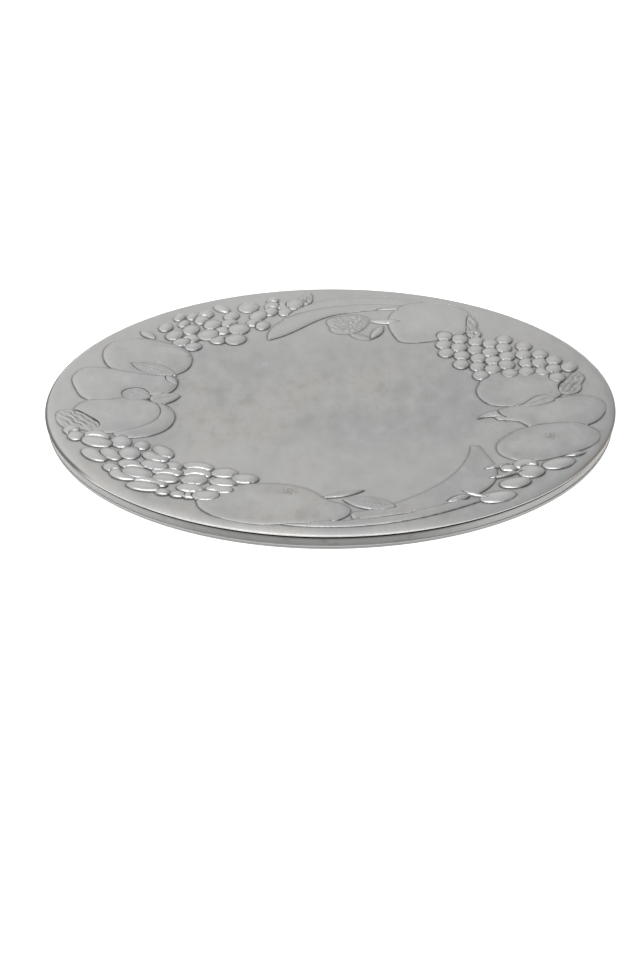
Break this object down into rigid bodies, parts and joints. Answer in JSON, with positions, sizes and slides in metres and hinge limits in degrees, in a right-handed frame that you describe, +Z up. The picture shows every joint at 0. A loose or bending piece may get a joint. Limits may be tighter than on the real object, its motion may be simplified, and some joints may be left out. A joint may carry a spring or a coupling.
{
  "type": "round serving plate",
  "caption": "Round cast-metal serving plate with a flat top, a border of fruit in low relief and a separate foot ring under its edge.",
  "frame": {"origin": "middle of the ring that the plate stands on, at table height", "axes": "+Z up through the plate, +X to the diner's right, +Y away from the diner, as the plate is seen in the picture"},
  "size_m": [0.305, 0.305, 0.0119],
  "materials": {
    "disc_metal": "satin cast, lightly brushed and scratched",
    "ring_metal": "turned, brushed round the edge",
    "relief_metal": "satin cast, high spots polished, crevices dark"
  },
  "bodies": {
    "root": {"plate_disc": "disc_metal", "foot_ring": "ring_metal", "left_apple": "relief_metal", "right_apple": "relief_metal", "right_pear": "relief_metal", "right_rear_apple": "relief_metal", "rear_pomegranate": "relief_metal", "left_pear": "relief_metal", "left_peach": "relief_metal", "front_pear": "relief_metal", "front_banana_inner": "relief_metal", "front_banana_outer": "relief_metal", "rear_banana_inner": "relief_metal", "rear_banana_outer": "relief_metal", "front_left_grapes": "relief_metal", "rear_left_grapes": "relief_metal", "rear_right_grapes": "relief_metal", "grape_stalks": "relief_metal", "left_apple_leaf": "relief_metal", "left_apple_stem": "relief_metal", "left_pear_calyx": "relief_metal", "left_leaves": "relief_metal", "vine_leaf": "relief_metal", "nut_stems": "relief_metal", "nuts": "relief_metal", "right_pear_stem": "relief_metal", "right_blossom": "relief_metal", "curled_leaf": "relief_metal", "pomegranate_crown": "relief_metal", "rear_blossom": "relief_metal", "rear_leaf": "relief_metal", "front_pear_leaves": "relief_metal"}
  },
  "joints": []
}
